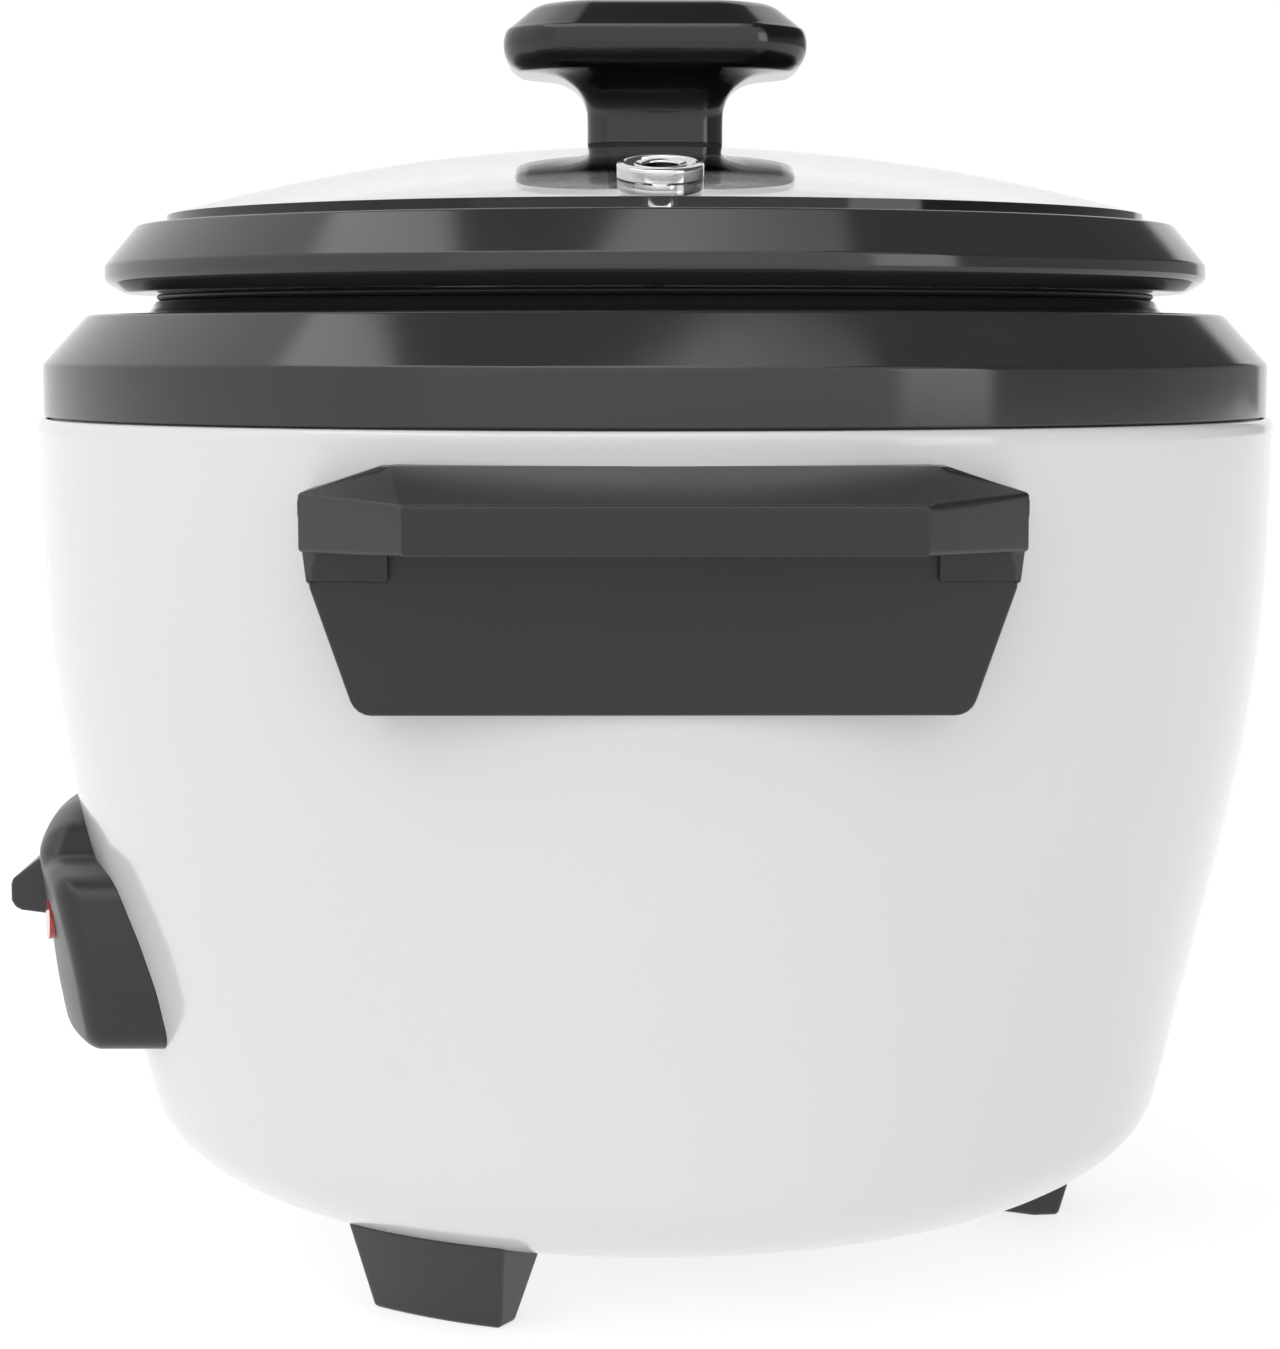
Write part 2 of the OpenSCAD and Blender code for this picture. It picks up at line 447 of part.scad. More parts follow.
body_shell();
top_collar();
base_plate();
foot(foot_az[0]);  // foot_rear
foot(foot_az[1]);  // foot_front_right
foot(foot_az[2]);  // foot_front_left
foot_screws();
base_screws();
handle();  // handle_right
rotate([0, 0, 180]) handle();  // handle_left
handle_screws();
switch_housing();
housing_screws();
lamp_lens_cook();
lamp_lens_warm();
indicator_lamps();
inner_liner();
liner_screws();
standoffs();
standoff_screws();
heating_plate();
heating_element();
plate_spacers();
plate_screws();
sensor_guide();
sensor_cap();
sensor_ferrite();
sensor_spring();
magnet_rod();
release_spring();
lever_bracket();
lever_pivot_pin();
lever_arm();
lever_knob();
contact_block();
contact_leaves();
thermal_fuse();
warm_resistor();
power_inlet();
inlet_pins();
live_wire();
neutral_wire();
heater_wire();
lamp_wires();
inner_pot();
lid_rim();
lid_glass();
steam_vent();
lid_knob();
knob_gasket();
knob_washer();
knob_screw();
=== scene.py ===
import math

import bpy
import bmesh
from mathutils import Vector, Matrix


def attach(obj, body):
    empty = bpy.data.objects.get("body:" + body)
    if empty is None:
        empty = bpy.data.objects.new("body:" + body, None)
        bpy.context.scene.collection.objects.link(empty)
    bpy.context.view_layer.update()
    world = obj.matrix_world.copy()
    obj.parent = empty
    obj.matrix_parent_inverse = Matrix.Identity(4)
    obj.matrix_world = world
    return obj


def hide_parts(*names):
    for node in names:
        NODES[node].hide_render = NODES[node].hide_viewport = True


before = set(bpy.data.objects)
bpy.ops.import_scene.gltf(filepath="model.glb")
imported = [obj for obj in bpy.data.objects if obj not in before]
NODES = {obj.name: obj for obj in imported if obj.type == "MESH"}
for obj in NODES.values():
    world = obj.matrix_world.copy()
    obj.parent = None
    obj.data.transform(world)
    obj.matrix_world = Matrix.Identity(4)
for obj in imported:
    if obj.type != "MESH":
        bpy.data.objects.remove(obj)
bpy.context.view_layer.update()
scene = bpy.context.scene
MM = 0.001


# ------------------------------------------------------------------ materials
class Mat:
    """A node material: each call adds a node and returns it."""

    def __init__(self, name):
        self.m = bpy.data.materials.new(name)
        self.m.use_nodes = True
        self.t = self.m.node_tree
        self.b = self.t.nodes["Principled BSDF"]
        self.coord = self.t.nodes.new("ShaderNodeTexCoord")

    def node(self, kind, **kw):
        n = self.t.nodes.new(kind)
        for k, v in kw.items():
            setattr(n, k, v)
        return n

    def link(self, a, b):
        self.t.links.new(a, b)

    def set(self, **kw):
        for k, v in kw.items():
            self.b.inputs[k.replace("_", " ")].default_value = v
        return self

    def noise(self, scale, detail=4.0, rough=0.55, stretch=(1, 1, 1), dist=0.0):
        mp = self.node("ShaderNodeMapping")
        mp.inputs["Scale"].default_value = stretch
        self.link(self.coord.outputs["Object"], mp.inputs["Vector"])
        n = self.node("ShaderNodeTexNoise")
        n.inputs["Scale"].default_value = scale
        n.inputs["Detail"].default_value = detail
        n.inputs["Roughness"].default_value = rough
        n.inputs["Distortion"].default_value = dist
        self.link(mp.outputs["Vector"], n.inputs["Vector"])
        return n.outputs["Fac"]

    def ramp(self, fac, stops):
        r = self.node("ShaderNodeValToRGB")
        while len(r.color_ramp.elements) < len(stops):
            r.color_ramp.elements.new(0.5)
        for e, (p, c) in zip(r.color_ramp.elements, stops):
            e.position = p
            e.color = (*c, 1) if len(c) == 3 else c
        self.link(fac, r.inputs["Fac"])
        return r.outputs["Color"]

    def span(self, fac, lo, hi, a=0.3, b=0.7):
        r = self.node("ShaderNodeMapRange")
        r.inputs["From Min"].default_value = a
        r.inputs["From Max"].default_value = b
        r.inputs["To Min"].default_value = lo
        r.inputs["To Max"].default_value = hi
        self.link(fac, r.inputs["Value"])
        return r.outputs["Result"]

    def bump(self, height, strength, distance=0.0002, under=None):
        n = self.node("ShaderNodeBump")
        n.inputs["Strength"].default_value = strength
        n.inputs["Distance"].default_value = distance
        self.link(height, n.inputs["Height"])
        if under is not None:
            self.link(under, n.inputs["Normal"])
        self.link(n.outputs["Normal"], self.b.inputs["Normal"])
        return n.outputs["Normal"]

    def edge(self, lo=0.5, hi=0.62):
        """1 on convex edges, from the surface's pointiness."""
        g = self.node("ShaderNodeNewGeometry")
        return self.span(g.outputs["Pointiness"], 0.0, 1.0, lo, hi)

    def mix(self, fac, a, b):
        n = self.node("ShaderNodeMix", data_type="RGBA")
        self.link(fac, n.inputs[0])
        for sock, v in ((n.inputs[6], a), (n.inputs[7], b)):
            if hasattr(v, "is_linked") or hasattr(v, "links"):
                self.link(v, sock)
            else:
                sock.default_value = (*v, 1)
        return n.outputs[2]

    def mul(self, a, b):
        n = self.node("ShaderNodeMath", operation="MULTIPLY")
        for i, v in enumerate((a, b)):
            if isinstance(v, (int, float)):
                n.inputs[i].default_value = v
            else:
                self.link(v, n.inputs[i])
        return n.outputs[0]


def srgb(h):
    out = []
    for i in (0, 2, 4):
        c = int(h[i : i + 2], 16) / 255
        out.append(c / 12.92 if c <= 0.04045 else ((c + 0.055) / 1.055) ** 2.4)
    return tuple(out)


def scaled(c, k):
    return tuple(min(1, x * k) for x in c)


def plastic(name, colour, rough=0.3, grain=1400, bump=0.05, vary=0.05, wear=0.0, spec=0.5, coat=0.0, coat_rough=0.1, rough_span=0.03, soft=0.0):
    """Moulded plastic: faint flow marks in colour, fine moulded grain, a little unevenness in gloss, brighter worn edges, softened corners."""
    m = Mat(name)
    flow = m.noise(14, 3, 0.5, (1, 1, 2.5))
    col = m.ramp(flow, [(0.3, scaled(colour, 1 - vary)), (0.7, scaled(colour, 1 + vary))])
    if wear:
        patch = m.span(m.noise(160, 5, 0.65), 0.0, 1.0, 0.45, 0.62)
        col = m.mix(m.mul(m.mul(m.edge(0.54, 0.64), patch), wear), col, scaled(colour, 1.8))
    m.link(col, m.b.inputs["Base Color"])
    m.link(m.span(m.noise(38, 5, 0.6), rough - rough_span, rough + rough_span), m.b.inputs["Roughness"])
    under = None
    if soft:
        bv = m.node("ShaderNodeBevel", samples=4)
        bv.inputs["Radius"].default_value = soft
        under = bv.outputs["Normal"]
    m.bump(m.noise(grain, 2, 0.5), bump, 0.0001, under)
    m.set(Specular_IOR_Level=spec, Coat_Weight=coat, Coat_Roughness=coat_rough)
    return m.m


def metal(name, colour, rough=0.3, brushed=None, bump=0.08, vary=0.08, soft=0.0):
    """Metal with a directional or turned finish: brushed is the stretch of the noise."""
    m = Mat(name)
    fine = m.noise(900 if brushed else 260, 4, 0.6, brushed or (1, 1, 1))
    stain = m.noise(30, 5, 0.6)
    col = m.ramp(stain, [(0.3, scaled(colour, 1 - vary)), (0.7, scaled(colour, 1 + vary))])
    m.link(col, m.b.inputs["Base Color"])
    m.link(m.span(fine, max(0.03, rough - 0.1), rough + 0.1), m.b.inputs["Roughness"])
    under = None
    if soft:
        bv = m.node("ShaderNodeBevel", samples=4)
        bv.inputs["Radius"].default_value = soft
        under = bv.outputs["Normal"]
    m.bump(fine, bump, 0.00015, under)
    m.set(Metallic=1.0)
    return m.m


def painted():
    """Gloss white stove enamel on drawn steel: very slight orange peel, faint tone changes, a clear hard coat."""
    m = Mat("white_enamel")
    col = m.ramp(m.noise(6, 3, 0.5), [(0.3, (0.605, 0.607, 0.61)), (0.7, (0.625, 0.627, 0.63))])
    m.link(col, m.b.inputs["Base Color"])
    m.link(m.span(m.noise(24, 4, 0.55), 0.14, 0.2), m.b.inputs["Roughness"])
    n1 = m.bump(m.noise(240, 2, 0.4), 0.02, 0.0003)
    m.bump(m.noise(9, 2, 0.4), 0.08, 0.0012, n1)
    m.set(Specular_IOR_Level=0.5, Coat_Weight=0.5, Coat_Roughness=0.04)
    return m.m


def glass_mat():
    m = Mat("tempered_glass")
    m.link(m.span(m.noise(30, 4, 0.6), 0.0, 0.02), m.b.inputs["Roughness"])
    m.link(m.ramp(m.noise(4, 2, 0.5), [(0.3, (0.985, 0.992, 0.99)), (0.7, (0.995, 0.998, 0.997))]), m.b.inputs["Base Color"])
    m.bump(m.noise(12, 2, 0.4), 0.01, 0.0004)
    m.set(Transmission_Weight=1.0, IOR=1.47)
    return m.m


M = {}
M["enamel"] = painted()
M["collar"] = plastic("charcoal_collar", srgb("2a2a2b"), rough=0.11, grain=1600, bump=0.012, wear=0.12, spec=0.5)
M["lid"] = plastic("charcoal_lid", srgb("2a2a2b"), rough=0.11, grain=1600, bump=0.012, wear=0.12, spec=0.5)
M["handle"] = plastic("charcoal_handle", srgb("212122"), rough=0.34, grain=1500, bump=0.03, wear=0.2, spec=0.42, soft=0.0004)
M["housing"] = plastic("charcoal_housing", srgb("232324"), rough=0.34, grain=1500, bump=0.03, wear=0.2, spec=0.44, soft=0.0004)
M["lever"] = plastic("charcoal_lever", srgb("272728"), rough=0.34, grain=1500, bump=0.03, wear=0.22, spec=0.5, soft=0.0003)
M["knob"] = plastic("black_knob", srgb("101011"), rough=0.13, grain=1700, bump=0.01, wear=0.12, spec=0.5, coat=0.15, coat_rough=0.05, soft=0.0003)
M["foot"] = plastic("charcoal_foot", srgb("252526"), rough=0.34, grain=900, bump=0.06, wear=0.2, soft=0.0005)
M["gasket"] = plastic("gasket_rubber", srgb("1a1a1a"), rough=0.7, grain=700, bump=0.2)
M["zinc"] = metal("zinc_plate", (0.56, 0.57, 0.58), 0.38, None, 0.12, 0.14, 0.0003)
M["screw"] = metal("screw_steel", (0.55, 0.55, 0.56), 0.3, None, 0.1, 0.1, 0.0003)
M["steel"] = metal("liner_steel", (0.66, 0.66, 0.66), 0.26, (1, 1, 24), 0.06, 0.05)
M["cast"] = metal("cast_aluminium", (0.6, 0.6, 0.61), 0.42, (1, 1, 1), 0.22, 0.1)
M["pot"] = plastic("nonstick", srgb("2e2e30"), rough=0.42, grain=520, bump=0.12, vary=0.2, wear=0.0)
M["element"] = metal("element_sheath", (0.3, 0.25, 0.22), 0.5, None, 0.2, 0.25)
M["ceramic"] = plastic("glazed_ceramic", srgb("d8d0c0"), rough=0.2, grain=300, bump=0.05)
M["ferrite"] = plastic("ferrite", srgb("2b2b2c"), rough=0.55, grain=600, bump=0.25)
M["alu"] = metal("cap_aluminium", (0.72, 0.72, 0.73), 0.3, None, 0.08, 0.05)
M["phenolic"] = plastic("phenolic_block", srgb("5a2c1a"), rough=0.5, grain=500, bump=0.2, vary=0.25)
M["brass"] = metal("contact_brass", (0.78, 0.55, 0.2), 0.28, None, 0.06, 0.12)
M["inlet"] = plastic("inlet_black", srgb("1d1d1e"), rough=0.38, grain=800, bump=0.12, soft=0.0004)
M["vent"] = metal("vent_steel", (0.68, 0.68, 0.69), 0.1, None, 0.02, 0.03)
M["lens_red"] = plastic("lens_red", srgb("b02a12"), rough=0.15, grain=500, bump=0.03, coat=0.6)
M["lens_amber"] = plastic("lens_amber", srgb("d88a1a"), rough=0.15, grain=500, bump=0.03, coat=0.6)
M["neon"] = plastic("lamp_glass", srgb("f0c8a8"), rough=0.12, grain=300, bump=0.02, coat=0.5)
M["wire_brown"] = plastic("wire_brown", srgb("6b4023"), rough=0.4, grain=900, bump=0.08)
M["wire_blue"] = plastic("wire_blue", srgb("2c64b8"), rough=0.4, grain=900, bump=0.08)
M["wire_red"] = plastic("wire_red", srgb("a82a20"), rough=0.4, grain=900, bump=0.08)
M["wire_grey"] = plastic("wire_grey", srgb("808080"), rough=0.4, grain=900, bump=0.08)
M["glass"] = glass_mat()


USE = {
    "body_shell": "enamel", "top_collar": "collar", "base_plate": "zinc", "foot_rear": "foot", "foot_front_right": "foot", "foot_front_left": "foot",
    "foot_screws": "screw", "base_screws": "screw", "handle_right": "handle", "handle_left": "handle", "handle_screws": "screw",
    "switch_housing": "housing", "housing_screws": "screw", "lamp_lens_cook": "lens_red", "lamp_lens_warm": "lens_amber", "indicator_lamps": "neon",
    "inner_liner": "steel", "liner_screws": "screw", "standoffs": "screw", "standoff_screws": "screw", "heating_plate": "cast",
    "heating_element": "element", "plate_spacers": "ceramic", "plate_screws": "screw", "sensor_guide": "steel", "sensor_cap": "alu",
    "sensor_ferrite": "ferrite", "sensor_spring": "screw", "magnet_rod": "ferrite", "release_spring": "screw", "lever_bracket": "steel",
    "lever_pivot_pin": "screw", "lever_arm": "steel", "lever_knob": "lever", "contact_block": "phenolic", "contact_leaves": "brass",
    "thermal_fuse": "ceramic", "warm_resistor": "ceramic", "power_inlet": "inlet", "inlet_pins": "brass", "live_wire": "wire_brown",
    "neutral_wire": "wire_blue", "heater_wire": "wire_red", "lamp_wires": "wire_grey", "inner_pot": "pot", "lid_rim": "lid",
    "lid_glass": "glass", "steam_vent": "vent", "lid_knob": "knob", "knob_gasket": "gasket", "knob_washer": "screw", "knob_screw": "screw",
}
for n, o in NODES.items():
    o.data.materials.clear()
    o.data.materials.append(M[USE[n]])


# ------------------------------------------------------------------ mesh tools
def fillet(pts, seg=5):
    """Corners of a closed outline, given as (a, b) or (a, b, radius), turned into arcs."""
    out, m = [], len(pts)
    for i, p in enumerate(pts):
        r = p[2] if len(p) > 2 else 0
        b = Vector(p[:2])
        if r <= 0:
            out.append(tuple(b))
            continue
        a, c = Vector(pts[i - 1][:2]), Vector(pts[(i + 1) % m][:2])
        u, v = (a - b), (c - b)
        lu, lv = u.length, v.length
        u, v = u / lu, v / lv
        half = math.acos(max(-1, min(1, u.dot(v)))) / 2
        if half > math.pi / 2 - 0.01:
            out.append(tuple(b))
            continue
        t = min(r / math.tan(half), 0.48 * lu, 0.48 * lv)
        rr = t * math.tan(half)
        centre = b + (u + v).normalized() * (rr / math.sin(half))
        s, e = b + u * t - centre, b + v * t - centre
        ang = math.acos(max(-1, min(1, s.dot(e) / (s.length * e.length))))
        n = max(2, int(seg * ang / (math.pi / 2)) + 1)
        for k in range(n + 1):
            f = k / n
            w = (s * math.sin((1 - f) * ang) + e * math.sin(f * ang)) / math.sin(ang)
            out.append(tuple(centre + w))
    return out


def finish_mesh(ob, sharp=38, weighted=True):
    me = ob.data
    me.polygons.foreach_set("use_smooth", [True] * len(me.polygons))
    me.set_sharp_from_angle(angle=math.radians(sharp))
    if weighted:
        w = ob.modifiers.new("face_normals", "WEIGHTED_NORMAL")
        w.keep_sharp = True
        w.weight = 50
    return ob


def from_bm(name, bm):
    bmesh.ops.recalc_face_normals(bm, faces=bm.faces)
    me = bpy.data.meshes.new(name)
    bm.to_mesh(me)
    bm.free()
    ob = bpy.data.objects.new(name, me)
    scene.collection.objects.link(ob)
    return ob


def revolve(name, prof, n=256, axis=None):
    """Closed outline of (radius, height) in mm, turned about Z; a point at radius 0 becomes a pole."""
    bm = bmesh.new()
    rings = []
    for r, z in prof:
        if r < 1e-6:
            rings.append([bm.verts.new((0, 0, z * MM))])
        else:
            rings.append([bm.verts.new((r * MM * math.cos(2 * math.pi * k / n), r * MM * math.sin(2 * math.pi * k / n), z * MM)) for k in range(n)])
    m = len(rings)
    for i in range(m):
        a, b = rings[i], rings[(i + 1) % m]
        if len(a) == 1 and len(b) == 1:
            continue
        for k in range(n):
            q = (k + 1) % n
            f = [a[k % len(a)], a[q % len(a)], b[q % len(b)], b[k % len(b)]]
            f = [v for j, v in enumerate(f) if v not in f[:j]]
            bm.faces.new(f)
    ob = from_bm(name, bm)
    if axis is not None:
        ob.data.transform(axis)
    return ob


def rounded(name, pts, r, n=20):
    """Convex solid through these outermost corners in mm (already moved in by r), with every edge rounded to r."""
    bm = bmesh.new()
    ball = []
    for i in range(n // 2 + 1):
        th = math.pi * i / (n // 2)
        for k in range(n if 0 < i < n // 2 else 1):
            ph = 2 * math.pi * k / n
            ball.append(Vector((math.sin(th) * math.cos(ph), math.sin(th) * math.sin(ph), math.cos(th))))
    for p in pts:
        for b in ball:
            bm.verts.new((Vector(p) + b * r) * MM)
    res = bmesh.ops.convex_hull(bm, input=bm.verts, use_existing_faces=False)
    junk = [g for g in res["geom_interior"] + res["geom_unused"] if isinstance(g, bmesh.types.BMVert) and g.is_valid]
    bmesh.ops.delete(bm, geom=list(set(junk)), context="VERTS")
    bmesh.ops.delete(bm, geom=[v for v in bm.verts if not v.link_faces], context="VERTS")
    bmesh.ops.remove_doubles(bm, verts=bm.verts, dist=1e-6)
    bmesh.ops.dissolve_limit(bm, angle_limit=math.radians(0.4), verts=bm.verts, edges=bm.edges)
    return from_bm(name, bm)


def applied(ob):
    """The object's mesh with its modifiers made real."""
    bpy.context.view_layer.update()
    me = bpy.data.meshes.new_from_object(ob.evaluated_get(bpy.context.evaluated_depsgraph_get()))
    ob.modifiers.clear()
    ob.data = me
    return ob


def boolean(ob, others, op):
    for o in others:
        m = ob.modifiers.new("cut", "BOOLEAN")
        m.operation = op
        m.solver = "EXACT"
        m.object = o
        applied(ob)
        bpy.data.objects.remove(o)
    return ob


def block(name, lo, hi):
    bm = bmesh.new()
    bmesh.ops.create_cube(bm, size=1)
    for v in bm.verts:
        v.co = Vector([(lo[i] + hi[i]) / 2 + v.co[i] * (hi[i] - lo[i]) for i in range(3)]) * MM
    return from_bm(name, bm)


def drum(name, r, z0, z1, axis, n=64):
    return revolve(name, [(0, z0), (r, z0), (r, z1), (0, z1)], n, axis)


def stand_in(ob, node, body, mat, sharp=38, weighted=True):
    ob.name = node + "_fine"
    ob.data.name = ob.name
    ob.data.materials.clear()
    ob.data.materials.append(mat)
    finish_mesh(ob, sharp, weighted)
    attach(ob, body)
    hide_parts(node)
    return ob


# ------------------------------------------------------------------ outlines shared by several pieces, in mm
CTRL = [(108.3, 146), (108.6, 143.4), (108.3, 129), (107.7, 115), (106.3, 101), (104.1, 86.5), (101, 72), (97.6, 57.5), (94.1, 43), (90.8, 29),
        (88.5, 23), (84.2, 18.4), (78.2, 14.8), (71.6, 12.6), (64.6, 12)]


def spline(p, n):
    out, m = [], len(p) - 1
    for i in range(m):
        a, b, c, d = p[max(i - 1, 0)], p[i], p[i + 1], p[min(i + 2, m)]
        for k in range(n):
            t = k / n
            out.append(tuple(0.5 * (2 * b[j] + (c[j] - a[j]) * t + (2 * a[j] - 5 * b[j] + 4 * c[j] - d[j]) * t * t + (3 * b[j] - a[j] - 3 * c[j] + d[j]) * t ** 3) for j in range(len(b))))
    return out + [tuple(p[m])]


OUTER = spline(CTRL, 8)


def shell_r(z):
    for a, b in zip(OUTER, OUTER[1:]):
        if a[1] >= z >= b[1]:
            return a[0] + (b[0] - a[0]) * (a[1] - z) / max(a[1] - b[1], 1e-9)
    return OUTER[0][0] if z > 146 else 50


def body_solid(n=256, gap=0.0):
    return revolve("body_cut", [(0, 180), (108.3 + gap, 180)] + [(r + gap, z) for r, z in OUTER[1:]] + [(0, 12 - gap)], n)


# ------------------------------------------------------------------ body shell
def shell_inner():
    out = []
    for i, (r, z) in enumerate(OUTER):
        a, b = OUTER[max(i - 1, 0)], OUTER[min(i + 1, len(OUTER) - 1)]
        t = Vector((b[0] - a[0], b[1] - a[1])).normalized()
        out.append((r + t.y * 1.2, min(max(z - t.x * 1.2, 13.2), 146)))
    return out


top = [(108.6, 143.6), (108.6, 144.6), (108.45, 145.2), (108.15, 145.65), (107.8, 145.9), (107.4, 146), (107.1, 145.8)]
low = [p for p in OUTER if p[1] < 143.2]
inn = [p for p in shell_inner() if p[1] < 143.2]
prof = top[::-1] + low + [(50.3, 12), (50, 12.3), (50, 12.9), (50.3, 13.2)] + inn[::-1]
shell = revolve("shell", prof, 320)
cuts = [block("c0", (-21, -112, 46.5), (21, -80, 72.5)), block("c1", (-17.1, 60, 19.9), (17.1, 110, 40.1))]
for s in (-1, 1):
    for t in (-1, 1):
        cuts.append(drum("c2", 2.2, 0, 60, Matrix.Translation((s * 0.08, t * 0.038, 0.116)) @ Matrix.Rotation(s * math.pi / 2, 4, "Y"), 32))
    cuts.append(drum("c3", 1.8, 0, 30, Matrix.Translation((s * 0.033, -0.078, 0.049)) @ Matrix.Rotation(math.pi / 2, 4, "X"), 32))
    cuts.append(drum("c4", 3.2, -14, 6, Matrix.Rotation(math.radians(s * 15.5), 4, "Z") @ Matrix.Translation((0, -0.102, 0.06)) @ Matrix.Rotation(math.pi / 2, 4, "X"), 32))
for a in (97, -30, 210):
    cuts.append(drum("c5", 2.2, 5, 30, Matrix.Rotation(math.radians(a), 4, "Z") @ Matrix.Translation((0.066, 0, 0)), 32))
boolean(shell, cuts, "DIFFERENCE")
stand_in(shell, "body_shell", "base", M["enamel"], 50)

# ------------------------------------------------------------------ collar
U = 4
collar = fillet([(84.9, 150), (84.9, 162, 0.5), (88.0, 162, 0.9), (88.9, 160.3, 1.2), (90.6, 159.6, 1.0), (99.7, 159.6, 1.6), (107.4, 151.1, 1.3), (107.4, 142.1, 0.5),
                 (106.4, 142.1), (106.4, 136), (104.4, 136), (104.4, 149.8, 1), (98.4, 156.6, 1), (90.6, 156.6, 1), (87.4, 154, 1), (87.4, 150)], 7)
collar_ob = revolve("collar", [(r, z + U) for r, z in collar], 320)
stand_in(collar_ob, "top_collar", "base", M["collar"])

# ------------------------------------------------------------------ lid rim, glass, vent
rim = fillet([(80.8, 164.2, 0.3), (81.9, 163.5, 0.6), (93.2, 163.3, 3), (96.7, 165.4, 1.6), (96.6, 168.1, 1.1), (91.0, 174.9, 0.9), (86.2, 175.1, 0.4), (86.2, 172.4, 0.2),
              (85, 172.4, 0.2), (81, 173.6, 0.3)], 7)
rim_ob = revolve("rim", [(r, z + U) for r, z in rim], 320)
stand_in(rim_ob, "lid_rim", "lid", M["lid"])

DZ, DR, GT = 193.0, 307.0, 4.0
gl = []
for i in range(49):
    r = 3.05 + (85.85 - 3.05) * i / 48
    gl.append((r, DZ - DR + math.sqrt(DR * DR - r * r)))
for i in range(48, -1, -1):
    r = 3.05 + (85.85 - 3.05) * i / 48
    gl.append((r, DZ - DR + math.sqrt((DR - GT) ** 2 - r * r)))
glass = revolve("glass", gl, 256)
VENT = Matrix.Translation((0, 0, (DZ - DR) * MM)) @ Matrix.Rotation(math.asin(72 / DR), 4, "Y")
boolean(glass, [drum("gc", 4.02, DR - 12, DR + 5, VENT, 64)], "DIFFERENCE")
stand_in(glass, "lid_glass", "lid", M["glass"], 40, False)

vp = fillet([(3.0, -5.8, 0.3), (6.4, -5.8, 0.5), (6.4, -4.13, 0.4), (4.0, -4.13), (4.0, 0.03), (6.8, 0.03, 0.1), (6.8, 2.1, 0.6), (5.6, 2.4, 0.4), (5.2, 1.2, 0.3), (4.5, 1.2, 0.3), (4.1, 2.2, 0.3), (3.0, 1.9, 0.35)], 6)
vent = revolve("vent", [(r, z + DR) for r, z in vp], 96, VENT)
stand_in(vent, "steam_vent", "lid", M["vent"])


# ------------------------------------------------------------------ knob
def octagon(hx, hy, c, z, seg=4):
    p = [(hx, hy - c, c * 0.55), (hx - c, hy, c * 0.55), (-hx + c, hy, c * 0.55), (-hx, hy - c, c * 0.55), (-hx, -hy + c, c * 0.55), (-hx + c, -hy, c * 0.55), (hx - c, -hy, c * 0.55), (hx, -hy + c, c * 0.55)]
    out, m = [], 8
    for i in range(m):
        b, a, d = Vector(p[i][:2]), Vector(p[i - 1][:2]), Vector(p[(i + 1) % m][:2])
        u, v = (a - b), (d - b)
        t = min(p[i][2], 0.46 * u.length, 0.46 * v.length)
        s, e = b + u.normalized() * t, b + v.normalized() * t
        for k in range(seg + 1):
            f = k / seg
            q = s * (1 - f) ** 2 + b * 2 * f * (1 - f) + e * f * f
            out.append((q.x, q.y, z))
    return out


KW, KD, KT = 26.5, 20.0, 217.8
stem = [(9.2, 11.9, 3.2, 193.62), (9.2, 11.9, 3.2, 197.4), (9.5, 12.1, 3.3, 199.8), (10.5, 13.1, 3.6, 202.2), (12.3, 15, 4.2, 204), (14.8, 17.8, 5, 205.2), (17.2, 23.4, 7.0, 205.85)]
cap = [(17.6, 23.9, 7.2, 205.95), (18.9, 25.3, 7.8, 207), (19.7, 26.2, 8.1, 208.6), (20, 26.5, 8.2, 210.4), (19.8, 26.3, 8.1, 212), (19.45, 25.95, 8.0, 212.9), (19.25, 25.75, 7.95, 213.15), (18.95, 25.45, 7.9, 213.4)]
tp = [(18.6, 25.1, 7.8, 213.65), (15.1, 21.9, 6.9, 216.55), (14.75, 21.55, 6.8, 216.82), (14.3, 21.1, 6.6, 217.1), (13.7, 20.5, 6.4, 217.42), (13.1, 19.9, 6.2, 217.65), (12.4, 19.2, 6, 217.76), (11.4, 18.2, 5.6, 217.8)]
secs = spline(stem, 4) + spline(cap, 3) + tp
bm = bmesh.new()
rings = [[bm.verts.new(Vector(q) * MM) for q in octagon(*s)] for s in secs]
for a, b in zip(rings, rings[1:]):
    for k in range(len(a)):
        q = (k + 1) % len(a)
        bm.faces.new((a[k], a[q], b[q], b[k]))
bm.faces.new(rings[-1])
bm.faces.new(rings[0][::-1])
knob = from_bm("knob", bm)
boolean(knob, [drum("kc", 2.05, 190, 205, Matrix.Identity(4), 32)], "DIFFERENCE")
stand_in(knob, "lid_knob", "lid", M["knob"], 34)

# gasket under the stem, following the dome
bm = bmesh.new()
outline = octagon(9.1, 11.8, 3.2, 0)
lo = [bm.verts.new(Vector((x, y, DZ - DR + math.sqrt(DR * DR - x * x - y * y) + 0.03)) * MM) for x, y, z in outline]
hi = [bm.verts.new(Vector((x, y, 193.58)) * MM) for x, y, z in outline]
foot_v = bm.verts.new(Vector((0, 0, DZ + 0.03)) * MM)
for k in range(len(lo)):
    q = (k + 1) % len(lo)
    bm.faces.new((lo[k], lo[q], hi[q], hi[k]))
    bm.faces.new((lo[q], lo[k], foot_v))
bm.faces.new(hi)
gasket = boolean(from_bm("gasket", bm), [drum("gk", 2.6, 190, 196, Matrix.Identity(4), 32)], "DIFFERENCE")
stand_in(gasket, "knob_gasket", "lid", M["gasket"], 34, False)

